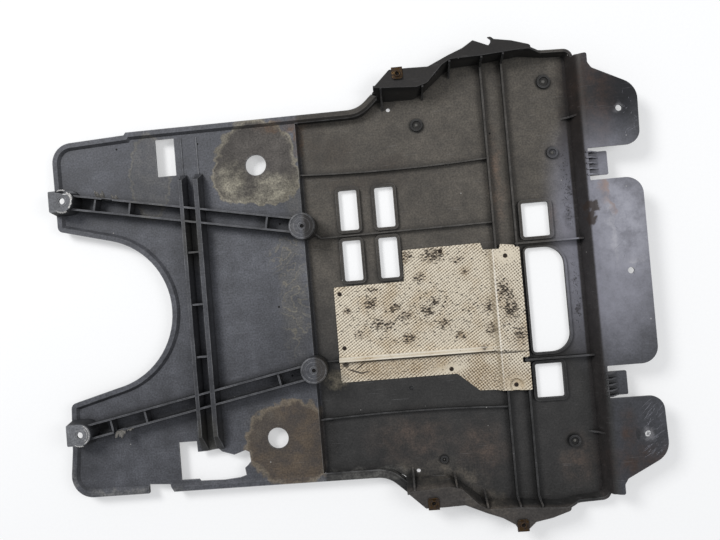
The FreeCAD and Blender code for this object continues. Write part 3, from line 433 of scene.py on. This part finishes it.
def embossed_aluminium(looks):
    """Rolled aluminium sheet, embossed in diagonal dashes: cream and dull, dirt in its hollows, burns,
    painted highlights on its crests and ridge, and painted shade on its ramp and crease.
    """
    material, tree, drawing = start_material("aluminium sheet, roll embossed and heat stained")
    x, _, z = add(tree, "ShaderNodeSeparateXYZ", [drawing]).node.outputs
    cloud = add(tree, "ShaderNodeTexNoise", {"Vector": drawing, "Scale": 1 / 30, "Detail": 4.0})
    smear = add(tree, "ShaderNodeTexNoise",
                {"Vector": drawing, "Scale": 1 / 6, "Detail": 4.0, "Roughness": 0.62})
    speck = add(tree, "ShaderNodeTexNoise", {"Vector": drawing, "Scale": 1 / 2.0, "Detail": 2.0})

    # Lines run up to the right, and a second set crosses them, stronger on the raised part and lower strip
    turn = 2 * math.pi / (looks.emboss_pitch / MM)
    local = add(tree, "ShaderNodeMapping", {0: drawing, 2: (0, 0, EMBOSS_LEAN), 3: (turn,) * 3})
    along, over, _ = add(tree, "ShaderNodeSeparateXYZ", [local]).node.outputs
    line = add(tree, "ShaderNodeMath", [over], operation="SINE")
    other = add(tree, "ShaderNodeMath", [along], operation="SINE")
    crossed = patches(tree, drawing, ((180, -130, 62, 36), (218, -10, 26, 80)), 0.3)
    second = add(tree, "ShaderNodeMath", [crossed, 0.5, 0.38], operation="MULTIPLY_ADD")
    emboss = add(tree, "ShaderNodeMath", [other, second, line], operation="MULTIPLY_ADD")
    smooth = patches(tree, drawing, ((217, 38, 17, 13), (124, -121, 24, 8), (217, -152, 14, 13)), 0.5)
    ridge = add(tree, "ShaderNodeMapRange", [z, 5.0, 6.5, 0.0, 1.0])
    back = add(tree, "ShaderNodeMapRange", [x, 190.0, 186.0, 0.0, 1.0])
    ridge = add(tree, "ShaderNodeMath", [ridge, back], operation="MULTIPLY")
    # Painted shade on the ramp and in the crease under the ridge; the glints are painted highlights along
    # the ridge and the ramp's top
    ramp_shade = patches(tree, drawing, ((196, -45, 3.2, 115),), 0.4)
    crease_shade = patches(tree, drawing, ((92, -102.3, 132, 1.3), (215, -104, 26, 1.0)), 0.5)
    glint = patches(tree, drawing, ((75, -94.0, 116, 1.0), (75, -99.0, 116, 0.8),
                                    (199.5, -40, 1.2, 95)), 0.6)
    plain = add(tree, "ShaderNodeMath", [smooth, ridge], operation="MAXIMUM")
    kept = add(tree, "ShaderNodeMapRange", [plain, 0.0, 1.0, 1.0, 0.2])
    emboss = add(tree, "ShaderNodeMath", [emboss, kept], operation="MULTIPLY")
    depth = add(tree, "ShaderNodeMapRange", [cloud, 0.3, 0.7, 0.65, 1.2])
    emboss = add(tree, "ShaderNodeMath", [emboss, depth], operation="MULTIPLY")

    # Hollows hold dirt and crests get a painted highlight; burns are black dashes along the lines, dense in
    # the listed patches
    hollow = add(tree, "ShaderNodeMapRange", [emboss, -0.1, -0.95, 0.0, 1.0])
    crest_highlight = add(tree, "ShaderNodeMapRange", [emboss, 0.5, 1.2, 0.0, 1.0])
    amber = add(tree, "ShaderNodeMapRange", [cloud, 0.48, 0.68, 0.0, 1.0])
    burnt = [(bx, by, BURN_SHARE * rx, BURN_SHARE * ry) for bx, by, rx, ry in BURNS]
    burnt = patches(tree, drawing, burnt, 0.9)
    char = add(tree, "ShaderNodeMapping", {0: drawing, 2: (0, 0, EMBOSS_LEAN), 3: (1 / 5, 1 / 2.5, 1 / 5)})
    char = add(tree, "ShaderNodeTexNoise", {"Vector": char, "Scale": 1.0, "Detail": 3.0, "Roughness": 0.6})
    scorched = patches(tree, drawing, ((85, -32, 125, 52), (120, 48, 60, 12), (215, -50, 20, 50)), 0.4)
    level = add(tree, "ShaderNodeMath", [scorched, 0.05, char], operation="MULTIPLY_ADD")
    level = add(tree, "ShaderNodeMath", [burnt, 0.15, level], operation="MULTIPLY_ADD")
    level = add(tree, "ShaderNodeMapRange", [level, 0.63, 0.68, 0.0, 1.0])
    dashes = add(tree, "ShaderNodeMapRange", [emboss, 0.9, -0.3, 0.72, 1.0])
    flecks = add(tree, "ShaderNodeMapRange", [speck, 0.56, 0.64, 0.0, 1.0])
    grimy = patches(tree, drawing, ((40, -115, 78, 14), (180, -140, 50, 18)), 0.5)
    torn = patches(tree, drawing, ((-30, -105, 5, 4), (-16, -116, 13, 1.3, -20), (-8, -108, 9, 1.1, 35),
                                   (-2, -118, 7, 1.0, 5)), 0.4)
    colour = layered(tree, list(looks.shield_colour) + [1.0],
                     (("b3986c", 0.5, amber), ("9f8050", 0.75, grimy, smear), ("f4ecdc", 0.5, crest_highlight),
                      ("5d4a33", 0.82, hollow), ("7a5f40", 0.3, burnt), ("1a0e07", 0.97, level, dashes),
                      ("23160b", 0.75, flecks, hollow), ("35240f", 0.75, flecks, grimy),
                      ("94866e", 0.5, ramp_shade), ("f6efe2", 0.7, glint), ("1d1510", 0.85, crease_shade),
                      ("2b211a", 0.9, torn)))
    rough = add(tree, "ShaderNodeMapRange", [smear, 0.3, 0.7, 0.45, 0.65])
    rough = add(tree, "ShaderNodeMix", {0: level, 2: rough, 3: 0.9}, out=0)
    bump = add(tree, "ShaderNodeBump", {"Strength": 0.8, "Distance": 0.35 * MM, "Height": emboss})
    shader = add(tree, "ShaderNodeBsdfPrincipled",
                 {"Base Color": colour, "Metallic": 0.2, "Roughness": rough, "Normal": bump})
    add(tree, "ShaderNodeOutputMaterial", [shader])
    return material


def rusted_steel(name, bare, rust, gold):
    """Plated steel rusting through: plating left in patches of 4 mm, rough rust between, pale specks."""
    material, tree, drawing = start_material(name)
    patchy = add(tree, "ShaderNodeTexNoise", {"Vector": drawing, "Scale": 1 / 4, "Detail": 6.0})
    fine = add(tree, "ShaderNodeTexNoise", {"Vector": drawing, "Scale": 1 / 0.7, "Detail": 3.0})
    eaten = add(tree, "ShaderNodeMapRange", [patchy, 0.4, 0.56, 0.0, 1.0])
    pale = add(tree, "ShaderNodeMapRange", [fine, 0.55, 0.68, 0.0, 1.0])
    colour = layered(tree, linear(bare), ((rust, 1.0, eaten), (gold, 0.55, pale)))
    metal = add(tree, "ShaderNodeMapRange", [eaten, 0.0, 1.0, 0.8, 0.1])
    rough = add(tree, "ShaderNodeMapRange", [eaten, 0.0, 1.0, 0.4, 0.85])
    bump = add(tree, "ShaderNodeBump", {"Strength": 0.6, "Distance": 0.2 * MM, "Height": fine})
    shader = add(tree, "ShaderNodeBsdfPrincipled",
                 {"Base Color": colour, "Metallic": metal, "Roughness": rough, "Normal": bump})
    add(tree, "ShaderNodeOutputMaterial", [shader])
    return material


def scraped_plastic(name, code, rough):
    """Polypropylene scraped, torn or pierced: stress-whitened in a tear, dark for dirt in a bore and for
    painted shade in a hole, uneven at 2 mm.
    """
    material, tree, drawing = start_material(name)
    uneven = add(tree, "ShaderNodeTexNoise", {"Vector": drawing, "Scale": 1 / 2, "Detail": 4.0})
    shade = add(tree, "ShaderNodeMapRange", [uneven, 0.3, 0.7, 0.45, 1.3])
    colour = shaded(tree, linear(code), (shade,))
    bump = add(tree, "ShaderNodeBump", {"Strength": 0.3, "Distance": 0.2 * MM, "Height": uneven})
    shader = add(tree, "ShaderNodeBsdfPrincipled",
                 {"Base Color": colour, "Roughness": rough, "Normal": bump})
    add(tree, "ShaderNodeOutputMaterial", [shader])
    return material


def pale_paper():
    """White backdrop paper: matt, and brighter where it is seen straight or in a gloss, shadow kept."""
    material, tree, drawing = start_material("white backdrop paper, matt")
    fibre = add(tree, "ShaderNodeTexNoise", {"Vector": drawing, "Scale": 1 / 4, "Detail": 3.0})
    tint = add(tree, "ShaderNodeMapRange", [fibre, 0.4, 0.7, 0.0, 1.0])
    colour = layered(tree, linear("fefefe"), (("f8f8f8", 0.3, tint),))
    matt = add(tree, "ShaderNodeBsdfDiffuse", {"Color": colour})
    glow = add(tree, "ShaderNodeEmission", {"Color": (1, 1, 1, 1), "Strength": 1.0})
    path = tree.nodes.new("ShaderNodeLightPath")
    seen = add(tree, "ShaderNodeMath", [path.outputs["Is Camera Ray"], path.outputs["Is Transmission Ray"]],
               operation="MAXIMUM")
    seen = add(tree, "ShaderNodeMath", [seen, path.outputs["Is Glossy Ray"]], operation="MAXIMUM")
    share = add(tree, "ShaderNodeMath", [seen, BACKDROP_GLOW], operation="MULTIPLY")
    both = add(tree, "ShaderNodeMixShader", [share, matt, glow])
    add(tree, "ShaderNodeOutputMaterial", [both])
    return material


def grid_faces(rows, columns, wrap):
    """Quads of a grid of points, row by row, closed round each row where it wraps."""
    down = np.arange(rows - 1)[:, None] * columns
    along = np.arange(columns if wrap else columns - 1)[None, :]
    after = (along + 1) % columns
    below = down + columns
    return np.stack([down + along, down + after, below + after, below + along], -1).reshape(-1, 4)


def lathe(radius, height, sides=28):
    """A profile of radius and height turned about the upright axis, as points and quads."""
    angle = np.linspace(0, 2 * np.pi, sides, endpoint=False)
    ring = np.stack([np.cos(angle), np.sin(angle)], -1)
    spread = np.asarray(radius)[:, None, None] * ring[None]
    tall = np.broadcast_to(np.asarray(height)[:, None, None], spread.shape[:2] + (1,))
    return np.concatenate([spread, tall], -1).reshape(-1, 3), grid_faces(len(radius), sides, True)


def copies(points, faces, places):
    """The same points and faces moved to each place in turn."""
    places = np.asarray(places, float)
    moved = (points[None] + places[:, None, :]).reshape(-1, 3)
    steps = np.arange(len(places))[:, None, None] * len(points)
    return moved, (faces[None] + steps).reshape(-1, faces.shape[1])


def gathered(parts):
    """Several sets of points and faces as one set."""
    starts = np.cumsum([0] + [len(points) for points, faces in parts[:-1]])
    return (np.concatenate([points for points, faces in parts]),
            np.concatenate([faces + start for (points, faces), start in zip(parts, starts)]))


def make_piece(name, points, faces, material, slot, wall=0.0):
    """A mesh piece from drawing coordinates in millimetres, doubled points merged, riding on the tray."""
    merged = 0.002
    sliver = 0.001
    shifted = np.asarray(points, float) + (DATUM[0], DATUM[1], 0)
    mesh = bpy.data.meshes.new(name)
    mesh.from_pydata((shifted * MM).tolist(), [], faces.tolist())
    work = bmesh.new()
    work.from_mesh(mesh)
    bmesh.ops.remove_doubles(work, verts=work.verts, dist=merged * MM)
    bmesh.ops.dissolve_degenerate(work, edges=work.edges, dist=sliver * MM)
    bmesh.ops.recalc_face_normals(work, faces=work.faces)
    work.to_mesh(mesh)
    work.free()
    mesh.polygons.foreach_set("use_smooth", np.ones(len(mesh.polygons), bool))
    mesh.materials.append(material)
    piece = bpy.data.objects.new(name, mesh)
    bpy.context.scene.collection.objects.link(piece)
    if wall:
        thick = piece.modifiers.new("wall", "SOLIDIFY")
        thick.thickness = wall * MM
        thick.offset = 0.0
    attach(piece, "root")
    return piece


class UNDERTRAY_OT_plastic(bpy.types.Operator):
    """Give the moulding its weathered plastic"""
    bl_idname = "undertray.plastic"
    bl_label = "Weather the plastic"

    def execute(self, context):
        frame["nodes"]["undertray"].data.materials[0] = polypropylene(context.scene.undertray)
        return {"FINISHED"}


class UNDERTRAY_OT_shield(bpy.types.Operator):
    """Give the heat shield its embossed and burnt aluminium"""
    bl_idname = "undertray.shield"
    bl_label = "Burn the heat shield"

    def execute(self, context):
        frame["nodes"]["heat_shield"].data.materials[0] = embossed_aluminium(context.scene.undertray)
        return {"FINISHED"}


class UNDERTRAY_OT_rivets(bpy.types.Operator):
    """Turn the domed rivet heads with the hollow left by the pulled pin"""
    bl_idname = "undertray.rivets"
    bl_label = "Turn the rivets"

    def execute(self, context):
        """Height = a flattened dome over the radius, less a steep round hollow at its middle."""
        half = context.scene.undertray.rivet_head / MM / 2
        dome = 1.5
        hollow = 0.9
        hollow_radius = 0.9
        share = np.linspace(0, 1, 22)
        radius = half * share
        height = dome * np.sqrt(1 - share ** 2.4) - hollow * np.exp(-(radius / hollow_radius) ** 4)
        points, faces = copies(*lathe(radius, height), RIVETS)
        steel = rusted_steel("blind rivet steel, rusted dark", "3b322a", "231a14", "4d3826")
        heads = make_piece("rivet_heads", points, faces, steel, "rivet_steel")
        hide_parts("shield_rivets")
        return {"FINISHED"}


class UNDERTRAY_OT_nuts(bpy.types.Operator):
    """Fold the spring nuts over the edges of the ears"""
    bl_idname = "undertray.nuts"
    bl_label = "Fold the spring nuts"

    def execute(self, context):
        """Clip = a path of two legs with flared lips joined by a half circle, carried across the nut's
        width, which narrows at the lips; collar = a turned profile that flares at its foot."""
        half = context.scene.undertray.nut_width / MM / 2
        gap = 4.0
        flare = 2.2
        flat_share = 0.72
        lip_share = 0.28
        lower_lip = 0.8
        narrowing = 0.22
        clear = 0.8
        bore = 2.75
        proud = 0.6
        dirt = 1.4
        middle = FLANGE - 1.5
        bend = np.linspace(-np.pi / 2, np.pi / 2, 9)
        leg = np.linspace(1.0, 0.0, 12)
        lip = flare * np.clip((leg - flat_share) / lip_share, 0, 1) ** 1.6
        inward = np.concatenate([NUT_REACH * leg, -clear - gap / 2 * np.cos(bend), NUT_REACH * leg[::-1]])
        rise = np.concatenate([-gap / 2 - lower_lip * lip, gap / 2 * np.sin(bend), gap / 2 + lip[::-1]])
        narrow = half * (1 - narrowing * np.concatenate([lip, 0 * bend, lip[::-1]]) / flare)
        across = np.linspace(-1, 1, 9)
        shape = (len(inward), len(across))
        faces = grid_faces(*shape, False)
        clips = [(np.stack([x + narrow[:, None] * across[None],
                            np.broadcast_to((edge - side * inward)[:, None], shape),
                            np.broadcast_to((middle + rise)[:, None], shape)], -1).reshape(-1, 3), faces)
                 for x, edge, side in NUTS]
        steel = rusted_steel("spring steel, yellow plated and rusting", "4d3a20", "2b1f17", "5f4323")
        piece = make_piece("nut_clips", *gathered(clips), steel, "spring_steel", wall=1.0)
        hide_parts("spring_nuts")
        radius = np.array([5.6, 4.7, 4.4, 4.2, 3.9, 3.3, 2.9, bore, bore, bore])
        height = np.array([0.5, 0.8, 1.4, 3.0, 3.5, 3.6, 3.4, 2.8, 0.0, -6.0]) + FLANGE + proud
        seats = [(x, edge - side * NUT_REACH / 2, 0.0) for x, edge, side in NUTS]
        make_piece("nut_collars", *copies(*lathe(radius, height), seats), steel, "spring_steel")
        dark = scraped_plastic("dirt packed in a nut's bore", "17120e", 0.95)
        plug = lathe(bore * np.linspace(0, 1, 5), np.full(5, FLANGE + dirt))
        make_piece("nut_dirt", *copies(*plug, seats), dark, "spring_steel")
        return {"FINISHED"}


class UNDERTRAY_OT_pads(bpy.types.Operator):
    """Turn the beads on the pads, the pins in the floor bosses and the painted shade in the round pads'
    holes
    """
    bl_idname = "undertray.pads"
    bl_label = "Turn pad beads and boss pins"

    def execute(self, context):
        """Bead = a half circle turned about the pad's axis; pin = a low dome with a steep side; shade = a
        flat dark disc, painted shade deep in the hole."""
        sunk = 0.1
        pin_share = 0.42
        pin_height = 1.7
        plug_radius = 3.05
        plug_depth = 1.2
        plastic = frame["nodes"]["undertray"].data.materials[0]
        turn = np.linspace(0, np.pi, 9)
        rings = [(points + (x, y, z), faces) for x, y, z, radius, bead in PAD_RINGS
                 for points, faces in [lathe(radius + bead * np.cos(turn), bead * np.sin(turn) - sunk,
                                             sides=40)]]
        make_piece("pad_beads", *gathered(rings), plastic, "black_plastic")
        share = np.linspace(0, 1, 10)
        grey = scraped_plastic("polypropylene, rubbed on a boss", "5a5854", 0.6)
        pins = [(points + (x, y, z), faces) for x, y, z, radius in BOSSES
                for points, faces in [lathe(pin_share * radius * share, pin_height * (1 - share ** 5),
                                            sides=24)]]
        make_piece("boss_pins", *gathered(pins), grey, "black_plastic")
        # A dark disc deep in each round pad's hole is painted shade
        dark = scraped_plastic("painted shade deep in a round pad's screw hole", "0d0c0b", 0.95)
        plug = lathe(plug_radius * np.linspace(0, 1, 5), np.full(5, ROUND_PAD - plug_depth))
        make_piece("pad_hole_shade", *copies(*plug, [(x, y, 0.0) for x, y in ROUND_PADS]), dark, "black_plastic")
        return {"FINISHED"}


class UNDERTRAY_OT_pin_holes(bpy.types.Operator):
    """Mark the small pin holes left by the mould"""
    bl_idname = "undertray.pin_holes"
    bl_label = "Prick the pin holes"

    def execute(self, context):
        """Each hole = a shallow round cap, painted dark as the shade inside the hole."""
        bulge = 0.06
        dark = scraped_plastic("polypropylene, painted shade inside a pin hole", "0c0c0c", 0.9)
        share = np.linspace(0, 1, 5)
        holes = [(points + (x, y, z), faces) for x, y, z, radius in PIN_HOLES
                 for points, faces in [lathe(radius * share, bulge * (1 - share ** 2), sides=18)]]
        make_piece("pin_holes", *gathered(holes), dark, "black_plastic")
        return {"FINISHED"}


class UNDERTRAY_OT_tears(bpy.types.Operator):
    """Curl the torn flaps of the arm ribs and the broken rims of the rear pads"""
    bl_idname = "undertray.tears"
    bl_label = "Curl the torn plastic"

    def execute(self, context):
        """Flap = a strip along a rib that bends outward as it rises, with a top ragged by two sines; rim =
        a strip round part of a pad, as broad as a sum of sines, pale partly from stress whitening and partly
        as a painted highlight."""
        root = ARM - 6
        stretch = 4
        rib_slope = 0.19
        along, up = np.meshgrid(np.linspace(0, 1, 15), np.linspace(0, 1, 9), indexing="ij")
        parts = []
        for number, (x, y, length, rise, side, bend) in enumerate(FLAPS):
            top = rise * (0.62 + 0.22 * np.sin(9 * along + number) + 0.16 * np.sin(23 * along + 2 * number))
            out = top * (1 - np.cos(bend * up)) / bend
            tall = top * np.sin(bend * up) / bend
            points = np.stack([x + length * along, y + side * (out - rib_slope * length * along),
                               root + tall + stretch * up], -1)
            parts.append((points.reshape(-1, 3), grid_faces(*along.shape, False)))
        torn = scraped_plastic("polypropylene, torn and stress whitened", "6a6762", 0.7)
        make_piece("torn_flaps", *gathered(parts), torn, "black_plastic", wall=1.1)

        turn, up = np.meshgrid(np.linspace(0, 1, 41), np.linspace(0, 1, 6), indexing="ij")
        parts = []
        for number, ((x, y), inner, outer, start, end, foot, lip) in enumerate(RIMS):
            angle = np.radians(start + (end - start) * turn)
            ragged = up * (0.6 + 0.22 * np.sin(29 * turn + number) + 0.18 * np.sin(67 * turn))
            reach = inner + (outer - inner) * ragged
            tall = REAR_PAD + foot + (lip - foot) * ragged
            points = np.stack([x + reach * np.cos(angle), y + reach * np.sin(angle), tall], -1)
            parts.append((points.reshape(-1, 3), grid_faces(*turn.shape, False)))
        # The rims are pale partly from stress whitening and partly as a painted highlight of the pads' lit
        # side faces
        white = scraped_plastic("polypropylene, stress whitened, with a painted highlight", "c4c2bf", 0.6)
        make_piece("whitened_and_lit_rims", *gathered(parts), white, "black_plastic", wall=0.9)
        return {"FINISHED"}


class UNDERTRAY_OT_scuffs(bpy.types.Operator):
    """Scratch the tongues"""
    bl_idname = "undertray.scuffs"
    bl_label = "Scratch the tongues"

    def execute(self, context):
        """Each scratch = a slim strip that narrows to its ends, from a random start along a random
        direction, bowed a little; the starburst is the same with directions all round a hole."""
        width = context.scene.undertray.scratch_width / MM
        shortest = 2
        longest = 22
        bowing = 0.025
        taper = 1.98
        lift = 0.04
        seed = 11
        random = np.random.default_rng(seed)
        white = scraped_plastic("polypropylene, stress whitened by scratching", "7e7e86", 0.6)
        along = np.linspace(-0.5, 0.5, 9)
        for name, count, span_x, span_y, lean, spread, reach in SCRATCHES:
            start = np.stack([random.uniform(*span_x, count), random.uniform(*span_y, count)], -1)
            angle = np.radians(lean + random.normal(0, spread, count))
            length = random.exponential(reach / 2, count).clip(0, longest) + shortest
            way = np.stack([np.cos(angle), np.sin(angle)], -1)
            start[:, 0] = np.minimum(start[:, 0], TONGUE_END - np.abs(way[:, 0]) * length / 2)
            side = np.stack([-way[:, 1], way[:, 0]], -1)
            bow = random.normal(0, bowing, count) * length
            middle = (start[:, None] + way[:, None] * (length[:, None] * along)[..., None]
                      + side[:, None] * (bow[:, None] * (1 - 4 * along ** 2))[..., None])
            half = (width * random.uniform(0.3, 1.0, count))[:, None] * np.sqrt(1 - (taper * along) ** 2) / 2
            offset = side[:, None] * half[..., None]
            plan = np.stack([middle - offset, middle + offset], 2).reshape(count, -1, 2)
            tall = np.full(plan.shape[:2] + (1,), FLANGE + lift)
            points = np.concatenate([plan, tall], -1).reshape(-1, 3)
            strip = grid_faces(len(along), 2, False)
            faces = (strip[None] + np.arange(count)[:, None, None] * 2 * len(along)).reshape(-1, 4)
            make_piece("scratches_" + name, points, faces, white, "black_plastic")
        return {"FINISHED"}


class UNDERTRAY_OT_stage(bpy.types.Operator):
    """Lay the backdrop, hang the lamps and set the camera"""
    bl_idname = "undertray.stage"
    bl_label = "Set the stage"

    def execute(self, context):
        scene = context.scene
        reach = 4.0
        below = -0.3 * MM
        mesh = bpy.data.meshes.new("backdrop")
        mesh.from_pydata([(-reach, -reach, below), (reach, -reach, below), (reach, reach, below),
                          (-reach, reach, below)], [], [(0, 1, 2, 3)])
        mesh.materials.append(pale_paper())
        floor = bpy.data.objects.new("backdrop", mesh)
        scene.collection.objects.link(floor)

        for name, place, width, depth, power in SOFT_BOXES:
            lamp = bpy.data.lights.new(name, "AREA")
            lamp.shape = "RECTANGLE"
            lamp.size = width
            lamp.size_y = depth
            lamp.energy = power
            box = bpy.data.objects.new(name, lamp)
            box.location = place
            lean = math.acos(place[2] / np.linalg.norm(place))
            box.rotation_euler = (0.0, lean, math.atan2(place[1], place[0]))
            scene.collection.objects.link(box)

        world = bpy.data.worlds.new("studio")
        world.use_nodes = True
        tree = world.node_tree
        tree.nodes.clear()
        path = tree.nodes.new("ShaderNodeLightPath")
        dim = add(tree, "ShaderNodeBackground", {"Color": STUDIO_TINT, "Strength": STUDIO_LIGHT})
        bright = add(tree, "ShaderNodeBackground", {"Color": (1, 1, 1, 1), "Strength": 1.0})
        shown = add(tree, "ShaderNodeMixShader", [path.outputs["Is Camera Ray"], dim, bright])
        add(tree, "ShaderNodeOutputWorld", [shown])
        scene.world = world

        camera = bpy.data.objects.new("camera", bpy.data.cameras.new("camera"))
        camera.data.sensor_width = SENSOR_WIDTH
        camera.data.lens = SENSOR_WIDTH * FOCAL_PIXELS / FRAME_PIXELS
        camera.location = [place * MM for place in np.add(CAMERA_PLACE, (*DATUM, 0.0)).tolist()]
        camera.rotation_euler = [math.radians(angle) for angle in CAMERA_TURN]
        scene.collection.objects.link(camera)
        scene.camera = camera
        scene.view_settings.view_transform = "Standard"
        return {"FINISHED"}


class UNDERTRAY_PT_panel(bpy.types.Panel):
    """The undertray's sizes, colours and operators"""
    bl_idname = "UNDERTRAY_PT_panel"
    bl_label = "Undertray"
    bl_space_type = "VIEW_3D"
    bl_region_type = "UI"
    bl_category = "Undertray"

    def draw(self, context):
        looks = context.scene.undertray
        for name in UndertrayLooks.__annotations__:
            self.layout.prop(looks, name)
        for operator in OPERATORS:
            self.layout.operator(operator.bl_idname)


OPERATORS = (UNDERTRAY_OT_plastic, UNDERTRAY_OT_shield, UNDERTRAY_OT_rivets, UNDERTRAY_OT_nuts,
             UNDERTRAY_OT_pads, UNDERTRAY_OT_pin_holes, UNDERTRAY_OT_tears, UNDERTRAY_OT_scuffs,
             UNDERTRAY_OT_stage)
CLASSES = (UndertrayLooks,) + OPERATORS + (UNDERTRAY_PT_panel,)


def register():
    for cls in CLASSES:
        bpy.utils.register_class(cls)
    bpy.types.Scene.undertray = bpy.props.PointerProperty(type=UndertrayLooks)


def unregister():
    del bpy.types.Scene.undertray
    for cls in reversed(CLASSES):
        bpy.utils.unregister_class(cls)


def main():
    register()
    for operator in OPERATORS:
        group, name = operator.bl_idname.split(".")
        getattr(getattr(bpy.ops, group), name)()


if __name__ == "__main__":
    main()
